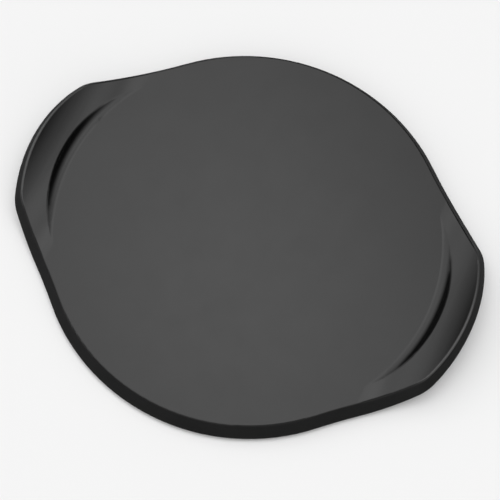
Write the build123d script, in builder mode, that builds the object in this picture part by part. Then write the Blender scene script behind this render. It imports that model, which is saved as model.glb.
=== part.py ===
from build123d import *
import os
from math import atan2, cos, degrees, hypot, radians, sqrt

# A round baking stone of glazed stoneware, with an upswept ear at each end of its X axis.
# Lengths are in millimetres and angles in degrees.
# The origin is the middle of the foot, on the surface that the stone rests on.

# Disc, measured where its leaning wall would meet the plane of the underside
disc_radius = 184.3
disc_thickness = 15.0
wall_lean = 30.7
edge_round = 2.0
base_round = 1.8

# Foot ring, which stays bare of glaze. The margin is counted inwards from the edge of the disc.
foot_margin = 32.3
foot_width = 9.0
foot_height = 2.5
foot_round = 0.8

# Plan of the ears, in the plane of the underside too: a tip, two corners and two hollow flanks.
# The length is counted from the edge of the disc.
ear_length = 41.3
ear_width = 170.9
ear_tip_radius = 131.3
ear_corner_radius = 41.0
flank_radius = 528.0

# Side view of the ears: the top sweeps up from the bed, and the underside lifts off more tightly.
# Each margin is counted inwards from the edge of the disc. Past the steepest slope both run straight.
sweep_margin = 36.3
sweep_radius = 91.5
lift_margin = 31.3
lift_radius = 85.0
steepest_slope = 45.0

# Cove that ends the flat bed against each ear, and the shoulder above it.
# The shoulder runs out this far beyond where the top starts to sweep up.
cove_margin = 12.9
cove_radius = 12.0
shoulder_round = 3.5
shoulder_setback = 12.0

# Glaze coat
glaze = 0.5

# Levels and places that follow from these
bed_height = foot_height + disc_thickness
foot_radius = disc_radius - foot_margin
sweep_start = disc_radius - sweep_margin
lift_start = disc_radius - lift_margin
cove_start = disc_radius - cove_margin
shoulder_root = sweep_start + shoulder_setback
ear_ceiling = bed_height + ear_length


def bearing(start, end):
    return degrees(atan2(end[1] - start[1], end[0] - start[0]))


def crossing(centre_a, radius_a, centre_b, radius_b):
    """Where two circles cross, to the left of the way from centre_a to centre_b."""
    step_x, step_y = centre_b[0] - centre_a[0], centre_b[1] - centre_a[1]
    gap = hypot(step_x, step_y)
    along = (radius_a**2 - radius_b**2 + gap**2) / (2 * gap)
    aside = sqrt(radius_a**2 - along**2)
    x = centre_a[0] + (along * step_x - aside * step_y) / gap
    y = centre_a[1] + (along * step_y + aside * step_x) / gap
    return x, y


def shared(faces_a, faces_b):
    """The edges where faces of one group meet faces of the other."""
    edges_b = faces_b.edges()
    return faces_a.edges().filter_by(lambda edge: any(edge.is_same(other) for other in edges_b))


def form(inset):
    """The stone's outer form above its foot, with every surface moved inwards by inset."""
    side_inset = inset / cos(radians(wall_lean))
    rim = disc_radius - side_inset
    tip = ear_tip_radius - side_inset
    corner = ear_corner_radius - side_inset
    flank = flank_radius + side_inset
    tip_centre = (disc_radius + ear_length - ear_tip_radius, 0)
    corner_rise = ear_width / 2 - ear_corner_radius
    corner_run = sqrt((ear_tip_radius - ear_corner_radius) ** 2 - corner_rise**2)
    corner_centre = (tip_centre[0] + corner_run, corner_rise)
    flank_reach = disc_radius + flank_radius
    flank_centre = crossing((0, 0), flank_reach, corner_centre, flank_radius + ear_corner_radius)
    tip_end = bearing(tip_centre, corner_centre)
    corner_end = bearing(corner_centre, flank_centre)
    flank_end = bearing((0, 0), flank_centre)

    bed = bed_height - inset
    underside = foot_height + inset
    cove = cove_radius + inset
    cove_centre = (cove_start, bed_height + cove_radius)
    cove_end = (cove_start + cove, bed_height + cove_radius)

    with BuildPart() as crisp:
        # blank with the leaning wall
        with BuildSketch(Plane.XY.offset(foot_height)):
            with BuildLine():
                CenterArc(corner_centre, corner, tip_end, corner_end - tip_end)
                CenterArc(flank_centre, flank, 180 + corner_end, flank_end - corner_end)
                mirror(about=Plane.XZ)
                CenterArc(tip_centre, tip, -tip_end, 2 * tip_end)
                mirror(about=Plane.YZ)
                CenterArc((0, 0), rim, flank_end, 180 - 2 * flank_end)
                CenterArc((0, 0), rim, 180 + flank_end, 180 - 2 * flank_end)
            make_face()
        extrude(amount=ear_ceiling - foot_height, taper=wall_lean)

        # side view: flat disc, upswept ears
        with BuildSketch(Plane.XZ):
            with BuildLine():
                sweep_centre = (sweep_start, bed_height + sweep_radius)
                lift_centre = (lift_start, foot_height + lift_radius)
                sweep = CenterArc(sweep_centre, sweep_radius + inset, 270, steepest_slope)
                lift = CenterArc(lift_centre, lift_radius - inset, 270, steepest_slope)
                sweep_run = PolarLine(sweep @ 1, ear_length, steepest_slope)
                lift_run = PolarLine(lift @ 1, ear_length, steepest_slope)
                Line(sweep_run @ 1, lift_run @ 1)
                mirror(about=Plane.YZ)
                Line((-sweep_start, bed), (sweep_start, bed))
                Line((-lift_start, underside), (lift_start, underside))
            make_face()
        extrude(amount=disc_radius, both=True, mode=Mode.INTERSECT)

        # round bed, turned down into the roots of the ears
        with BuildSketch(Plane.XZ):
            with BuildLine():
                Polyline((cove_start, bed), (0, bed), (0, ear_ceiling), (cove_end[0], ear_ceiling), cove_end)
                CenterArc(cove_centre, cove, 270, 90)
            make_face()
        revolve(axis=Axis.Z, mode=Mode.SUBTRACT)

    # ears by themselves, to round the shoulders above the coves
    with BuildPart() as ears:
        add(crisp.part)
        Box(2 * shoulder_root, 2 * disc_radius, 2 * ear_ceiling, mode=Mode.SUBTRACT)
        coves = ears.faces().filter_by(GeomType.TORUS)
        shoulders = shared(coves, ears.faces().filter_by(GeomType.CYLINDER))
        fillet(shoulders, shoulder_round - inset)

    # disc and ears in one again, with their rims rounded
    with BuildPart() as whole:
        add(crisp.part)
        Box(2 * shoulder_root, 2 * disc_radius, 2 * ear_ceiling, mode=Mode.INTERSECT)
        add(ears.part)
        walls = whole.faces().filter_by(GeomType.CONE)
        skins = whole.faces().filter_by(GeomType.CONE, reverse=True)
        upper_rim = shared(walls, skins.filter_by(lambda face: face.normal_at().Z > 0))
        lower_rim = shared(walls, skins.filter_by(lambda face: face.normal_at().Z < 0))
        fillet(upper_rim, edge_round - inset)
        fillet(lower_rim, base_round - inset)
    return whole.part


glazed_form = form(0)
clay_form = form(glaze)

# Fired clay body with its two ears and its foot ring
with BuildPart() as stone_body:
    add(clay_form)
    with BuildSketch():
        Circle(foot_radius)
        Circle(foot_radius - foot_width, mode=Mode.SUBTRACT)
    extrude(amount=foot_height + glaze)
    fillet(stone_body.edges().group_by(Axis.Z)[0], foot_round)

# Glaze over the top, the wall and the underside, up to the foot ring
with BuildPart() as outer_glaze:
    add(glazed_form)
    add(clay_form, mode=Mode.SUBTRACT)
    with BuildSketch(Plane.XY.offset(foot_height)):
        Circle(foot_radius)
    extrude(amount=glaze, mode=Mode.SUBTRACT)

# Glaze on the round panel inside the foot ring
with BuildPart() as base_glaze:
    with BuildSketch(Plane.XY.offset(foot_height)):
        Circle(foot_radius - foot_width)
    extrude(amount=glaze)

os.makedirs("parts", exist_ok=True)
stone_body.part.label = "stone_body"
outer_glaze.part.label = "outer_glaze"
base_glaze.part.label = "base_glaze"
export_step(stone_body.part, "parts/stone_body.step")
export_step(outer_glaze.part, "parts/outer_glaze.step")
export_step(base_glaze.part, "parts/base_glaze.step")
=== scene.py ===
from math import cos, radians, sin

import bpy
from mathutils import Matrix, Vector

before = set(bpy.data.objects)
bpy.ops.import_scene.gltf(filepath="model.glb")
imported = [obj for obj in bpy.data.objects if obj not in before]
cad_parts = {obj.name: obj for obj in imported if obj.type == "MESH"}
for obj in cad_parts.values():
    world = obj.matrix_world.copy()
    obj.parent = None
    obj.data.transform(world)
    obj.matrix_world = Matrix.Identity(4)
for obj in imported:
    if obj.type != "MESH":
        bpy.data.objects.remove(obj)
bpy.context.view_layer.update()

# A baking stone of black glazed stoneware, on a pale floor in soft studio light.
# Everything is in metres, and MM turns a size in millimetres into metres.
MM = 0.001

# Sockets of a Mix node: its two vectors and their result, and its two colours and their result
VECTOR_A, VECTOR_B, MIXED_VECTOR = 4, 5, 1
COLOUR_A, COLOUR_B, MIXED_COLOUR = 6, 7, 2


# Tools

def linear(hex_colour):
    """An sRGB colour such as #1A1A1C as linear RGBA."""
    values = [int(hex_colour[i : i + 2], 16) / 255 for i in (1, 3, 5)]
    return [v / 12.92 if v <= 0.04045 else ((v + 0.055) / 1.055) ** 2.4 for v in values] + [1.0]


def add_node(tree, kind, settings=None, inputs=None, ramp=None):
    """Adds a shader node. An input that is a socket gets a link, and any other input is set.
    The ramp gives the colours of a colour ramp by their positions."""
    node = tree.nodes.new(kind)
    for name, value in (settings or {}).items():
        setattr(node, name, value)
    for name, value in (inputs or {}).items():
        socket = node.inputs[name]
        if isinstance(value, bpy.types.NodeSocket):
            tree.links.new(value, socket)
        else:
            socket.default_value = value
    if ramp:
        for element, (position, colour) in zip(node.color_ramp.elements, ramp.items()):
            element.position = position
            element.color = linear(colour)
    return node


def new_material(name):
    """An empty material and its node tree."""
    material = bpy.data.materials.new(name)
    material.use_nodes = True
    material.node_tree.nodes.clear()
    return material, material.node_tree


def paint(obj, material):
    for slot in obj.material_slots:
        slot.material = material


# Materials. Their patterns lie in the frame's own coordinates.

def black_stoneware_glaze():
    """Black stoneware glaze, sprayed on by hand and fired to a soft gloss.
    The eye sees a near-black ground that mirrors soft light, faint clouds where the spray
    overlapped, an orange-peel skin, here and there a pinhole that a gas bubble left, a painted
    highlight (a greyer line) along the lips of the ears, and a matt wall."""
    # sizes of the patterns, and the height from which the painted highlight along the lips begins
    cloud_size = 60 * MM
    speck_size = 1.1 * MM
    drift_size = 25 * MM
    peel_spacing = 2.5 * MM
    pinhole_spacing, pinhole_core, pinhole_rim = 15 * MM, 0.12 * MM, 0.375 * MM
    skin_depth = 0.1 * MM
    highlight_from, highlight_full = 24 * MM, 30 * MM

    # how far outwards the surface faces on the crown of the lips and on the wall, and how nearly
    # straight up on the bed
    crown_middle, crown_reach = 0.15, 0.4
    wall_from, wall_full = 0.3, 0.8
    straight_up = 0.99999

    # roughness of the gloss, and what the matt wall adds to it
    smoothest, roughest = 0.16, 0.2
    wall_roughness = 0.8

    material, tree = new_material("black_stoneware_glaze")
    coordinates = add_node(tree, "ShaderNodeTexCoord")
    place = coordinates.outputs["Object"]

    # how far the surface faces away from the stone's middle: 0 on the bed, 0.86 on the leaning
    # wall, and below 0 on the tops of the ears
    across = add_node(
        tree, "ShaderNodeVectorMath", {"operation": "MULTIPLY"}, {0: place, 1: (1, 1, 0)}
    )
    outwards = add_node(
        tree, "ShaderNodeVectorMath", {"operation": "NORMALIZE"}, {0: across.outputs["Vector"]}
    )
    facing = add_node(
        tree,
        "ShaderNodeVectorMath",
        {"operation": "DOT_PRODUCT"},
        {0: outwards.outputs["Vector"], 1: coordinates.outputs["Normal"]},
    ).outputs["Value"]

    # clouds where the spray overlapped
    cloud = add_node(
        tree,
        "ShaderNodeTexNoise",
        inputs={"Vector": place, "Scale": 1 / cloud_size, "Detail": 3.0},
    )
    ground = add_node(
        tree,
        "ShaderNodeValToRGB",
        inputs={"Fac": cloud.outputs["Fac"]},
        ramp={0.35: "#050505", 0.65: "#090909"},
    )

    # fine undissolved specks, a shade lighter
    speck = add_node(
        tree,
        "ShaderNodeTexNoise",
        inputs={"Vector": place, "Scale": 1 / speck_size, "Detail": 0.0},
    )
    specks = add_node(
        tree,
        "ShaderNodeValToRGB",
        inputs={"Fac": speck.outputs["Fac"]},
        ramp={0.7: "#000000", 0.8: "#050505"},
    )
    speckled_ground = add_node(
        tree,
        "ShaderNodeVectorMath",
        {"operation": "ADD"},
        {0: ground.outputs["Color"], 1: specks.outputs["Color"]},
    )

    # painted highlight: a greyer colour along the crown of the lips, where they catch the light
    height = add_node(tree, "ShaderNodeSeparateXYZ", inputs={"Vector": place}).outputs["Z"]
    raised = add_node(
        tree,
        "ShaderNodeMapRange",
        inputs={"Value": height, "From Min": highlight_from, "From Max": highlight_full},
    )
    crown = add_node(
        tree,
        "ShaderNodeMath",
        {"operation": "COMPARE"},
        {0: facing, 1: crown_middle, 2: crown_reach},
    )
    painted_lip_highlight = add_node(
        tree,
        "ShaderNodeMath",
        {"operation": "MULTIPLY"},
        {0: raised.outputs["Result"], 1: crown.outputs["Value"]},
    )
    colour = add_node(
        tree,
        "ShaderNodeMix",
        {"data_type": "RGBA"},
        {
            "Factor": painted_lip_highlight.outputs["Value"],
            COLOUR_A: speckled_ground.outputs["Vector"],
            COLOUR_B: linear("#343434"),
        },
    )

    # how well the gloss ran together, and the wall, where the spray lay thin and fired matt
    drift = add_node(
        tree,
        "ShaderNodeTexNoise",
        inputs={"Vector": place, "Scale": 1 / drift_size, "Detail": 3.0},
    )
    gloss = add_node(
        tree,
        "ShaderNodeMapRange",
        inputs={
            "Value": drift.outputs["Fac"],
            "From Min": 0.3,
            "From Max": 0.7,
            "To Min": smoothest,
            "To Max": roughest,
        },
    )
    matt_wall = add_node(
        tree,
        "ShaderNodeMapRange",
        {"interpolation_type": "SMOOTHSTEP"},
        {"Value": facing, "From Min": wall_from, "From Max": wall_full, "To Max": wall_roughness},
    )
    roughness = add_node(
        tree,
        "ShaderNodeMath",
        {"operation": "ADD"},
        {0: gloss.outputs["Result"], 1: matt_wall.outputs["Result"]},
    )

    # the bed is dead flat, so its own normal holds up to its very edge
    geometry = add_node(tree, "ShaderNodeNewGeometry")
    upwards = add_node(
        tree, "ShaderNodeSeparateXYZ", inputs={"Vector": geometry.outputs["True Normal"]}
    ).outputs["Z"]
    flat = add_node(
        tree, "ShaderNodeMath", {"operation": "GREATER_THAN"}, {0: upwards, 1: straight_up}
    )
    normal = add_node(
        tree,
        "ShaderNodeMix",
        {"data_type": "VECTOR"},
        {
            "Factor": flat.outputs["Value"],
            VECTOR_A: geometry.outputs["Normal"],
            VECTOR_B: geometry.outputs["True Normal"],
        },
    )

    # orange peel, and the pinholes let into it
    peel = add_node(
        tree,
        "ShaderNodeTexNoise",
        inputs={"Vector": place, "Scale": 1 / peel_spacing, "Detail": 1.0},
    )
    skin = add_node(
        tree,
        "ShaderNodeBump",
        inputs={
            "Height": peel.outputs["Fac"],
            "Strength": 0.1,
            "Distance": skin_depth,
            "Normal": normal.outputs[MIXED_VECTOR],
        },
    )
    pinhole_cells = add_node(
        tree, "ShaderNodeTexVoronoi", inputs={"Vector": place, "Scale": 1 / pinhole_spacing}
    )
    pinholes = add_node(
        tree,
        "ShaderNodeMapRange",
        {"interpolation_type": "SMOOTHSTEP"},
        {
            "Value": pinhole_cells.outputs["Distance"],
            "From Min": pinhole_core / pinhole_spacing,
            "From Max": pinhole_rim / pinhole_spacing,
            "To Min": -1.0,
            "To Max": 0.0,
        },
    )
    pitted_skin = add_node(
        tree,
        "ShaderNodeBump",
        inputs={
            "Height": pinholes.outputs["Result"],
            "Strength": 0.5,
            "Distance": skin_depth,
            "Normal": skin.outputs["Normal"],
        },
    )

    # the index of refraction is a little low for a glaze, to keep the stone as dark as it is
    shader = add_node(
        tree,
        "ShaderNodeBsdfPrincipled",
        inputs={
            "Base Color": colour.outputs[MIXED_COLOUR],
            "Roughness": roughness.outputs["Value"],
            "IOR": 1.4,
            "Normal": pitted_skin.outputs["Normal"],
        },
    )
    add_node(tree, "ShaderNodeOutputMaterial", inputs={"Surface": shader.outputs["BSDF"]})
    return material


def bare_stoneware():
    """Unglazed stoneware, pressed and fired, and wiped clean where it stands on the kiln shelf.
    The eye sees a dry, warm grey-brown clay with sandy grains and a few dark iron specks."""
    grain_size = 1.2 * MM
    iron_spacing, iron_core, iron_rim = 4 * MM, 0.24 * MM, 0.56 * MM
    grit_depth = 0.2 * MM

    material, tree = new_material("bare_stoneware")
    place = add_node(tree, "ShaderNodeTexCoord").outputs["Object"]

    # sandy grains
    grain = add_node(
        tree,
        "ShaderNodeTexNoise",
        inputs={"Vector": place, "Scale": 1 / grain_size, "Detail": 4.0},
    )
    clay = add_node(
        tree,
        "ShaderNodeValToRGB",
        inputs={"Fac": grain.outputs["Fac"]},
        ramp={0.3: "#6B5F52", 0.7: "#8C7F70"},
    )
    grit = add_node(
        tree,
        "ShaderNodeBump",
        inputs={"Height": grain.outputs["Fac"], "Strength": 0.3, "Distance": grit_depth},
    )

    # iron specks
    iron_cells = add_node(
        tree, "ShaderNodeTexVoronoi", inputs={"Vector": place, "Scale": 1 / iron_spacing}
    )
    iron = add_node(
        tree,
        "ShaderNodeMapRange",
        {"interpolation_type": "SMOOTHSTEP"},
        {
            "Value": iron_cells.outputs["Distance"],
            "From Min": iron_core / iron_spacing,
            "From Max": iron_rim / iron_spacing,
            "To Min": 1.0,
            "To Max": 0.0,
        },
    )
    colour = add_node(
        tree,
        "ShaderNodeMix",
        {"data_type": "RGBA"},
        {
            "Factor": iron.outputs["Result"],
            COLOUR_A: clay.outputs["Color"],
            COLOUR_B: linear("#3A2F26"),
        },
    )
    shader = add_node(
        tree,
        "ShaderNodeBsdfPrincipled",
        inputs={
            "Base Color": colour.outputs[MIXED_COLOUR],
            "Roughness": 0.85,
            "IOR": 1.5,
            "Normal": grit.outputs["Normal"],
        },
    )
    add_node(tree, "ShaderNodeOutputMaterial", inputs={"Surface": shader.outputs["BSDF"]})
    return material


glaze = black_stoneware_glaze()
paint(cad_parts["outer_glaze"], glaze)
paint(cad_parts["base_glaze"], glaze)
paint(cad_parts["stone_body"], bare_stoneware())


# Floor

def pale_floor(half_size, colour):
    """A plain matt floor, so wide that its edge lies on the horizon in low views."""
    mesh = bpy.data.meshes.new("floor")
    corners = [(x * half_size, y * half_size, 0) for x, y in ((-1, -1), (1, -1), (1, 1), (-1, 1))]
    mesh.from_pydata(corners, [], [(0, 1, 2, 3)])
    floor = bpy.data.objects.new("floor", mesh)
    bpy.context.collection.objects.link(floor)
    material, tree = new_material("pale_floor")
    shader = add_node(
        tree,
        "ShaderNodeBsdfPrincipled",
        inputs={"Base Color": linear(colour), "Roughness": 0.9, "Specular IOR Level": 0.0},
    )
    add_node(tree, "ShaderNodeOutputMaterial", inputs={"Surface": shader.outputs["BSDF"]})
    mesh.materials.append(material)


pale_floor(half_size=60.0, colour="#ECECEC")


# Light: a dim room with soft patches of light and shade. In the photograph's view, the bed and the
# ears mirror only a band of directions that lean 0.2 to 0.45 towards +Y, and the angle along that
# band grows with the slope of the ear.

def soft_patch(tree, way, centre, full_within, gone_by, strength, reach_y=1.0):
    """Light from the directions around centre. It fades out between two distances from centre on
    the unit sphere, and along Y it reaches as far as reach_y times that."""
    off_centre = add_node(
        tree,
        "ShaderNodeVectorMath",
        {"operation": "SUBTRACT"},
        {0: way, 1: Vector(centre).normalized()},
    )
    evened = add_node(
        tree,
        "ShaderNodeVectorMath",
        {"operation": "DIVIDE"},
        {0: off_centre.outputs["Vector"], 1: (1, reach_y, 1)},
    )
    distance = add_node(
        tree, "ShaderNodeVectorMath", {"operation": "LENGTH"}, {0: evened.outputs["Vector"]}
    )
    fade = add_node(
        tree,
        "ShaderNodeMapRange",
        {"interpolation_type": "SMOOTHSTEP"},
        {
            "Value": distance.outputs["Value"],
            "From Min": full_within,
            "From Max": gone_by,
            "To Min": strength,
            "To Max": 0.0,
        },
    )
    return fade.outputs["Result"]


dim_room = 0.25
patches = [
    # oval softbox overhead, which the bed and the ears mirror
    dict(centre=(-0.16, 0.18, 0.95), full_within=0.55, gone_by=1.17, strength=1.95, reach_y=0.52),
    # its bright middle, for the middle of the bed and the pale bands at the foot of the coves
    dict(centre=(-0.12, 0.31, 0.94), full_within=0.0, gone_by=0.28, strength=1.15),
    # shade that the right edge of the bed mirrors
    dict(centre=(0.1, 0.47, 0.88), full_within=0.0, gone_by=0.33, strength=-0.6),
    # light for the lower end of the left ear, and for the inner side of the right one
    dict(centre=(0.27, 0.27, 0.92), full_within=0.05, gone_by=0.27, strength=0.6),
    dict(centre=(-0.5, 0.33, 0.8), full_within=0.0, gone_by=0.28, strength=0.3),
    # black flags on both sides, which the risers under the ears mirror as dark crescents
    dict(centre=(0.9, 0.4, 0.1), full_within=0.25, gone_by=0.7, strength=-0.23),
    dict(centre=(-0.9, 0.4, 0.1), full_within=0.25, gone_by=0.7, strength=-0.23),
    # fill light from behind the camera and from both sides of it, for the views from elsewhere
    dict(centre=(0.0, -0.86, 0.5), full_within=0.3, gone_by=1.0, strength=0.5),
    dict(centre=(0.8, -0.4, 0.42), full_within=0.2, gone_by=0.7, strength=0.35),
    dict(centre=(-0.8, -0.4, 0.42), full_within=0.2, gone_by=0.7, strength=0.35),
]

world = bpy.data.worlds.new("room")
bpy.context.scene.world = world
world.use_nodes = True
sky = world.node_tree
sky.nodes.clear()
way = add_node(sky, "ShaderNodeTexCoord").outputs["Generated"]
light = dim_room
for patch in patches:
    added = add_node(
        sky, "ShaderNodeMath", {"operation": "ADD"}, {0: soft_patch(sky, way, **patch), 1: light}
    )
    light = added.outputs["Value"]
room = add_node(
    sky, "ShaderNodeBackground", inputs={"Color": linear("#FFFFFF"), "Strength": light}
)
add_node(sky, "ShaderNodeOutputWorld", inputs={"Surface": room.outputs["Background"]})


# Camera, at the photograph's angle

bed_height = 17.5 * MM
elevation = radians(68.08)
azimuth = radians(20.97)
roll = radians(4.35)
camera_distance = 1.042

camera_data = bpy.data.cameras.new("camera")
camera_data.sensor_width = 36.0
camera_data.lens = 85.07
camera_data.shift_x = 0.0034
camera_data.shift_y = -0.0405
camera = bpy.data.objects.new("camera", camera_data)
bpy.context.collection.objects.link(camera)
away = Vector((cos(elevation) * sin(azimuth), -cos(elevation) * cos(azimuth), sin(elevation)))
camera.location = Vector((0, 0, bed_height)) + away * camera_distance
level_view = (-away).to_track_quat("-Z", "Y").to_matrix()
camera.rotation_euler = (level_view @ Matrix.Rotation(roll, 3, "Z")).to_euler()
bpy.context.scene.camera = camera

bpy.context.scene.view_settings.view_transform = "Standard"
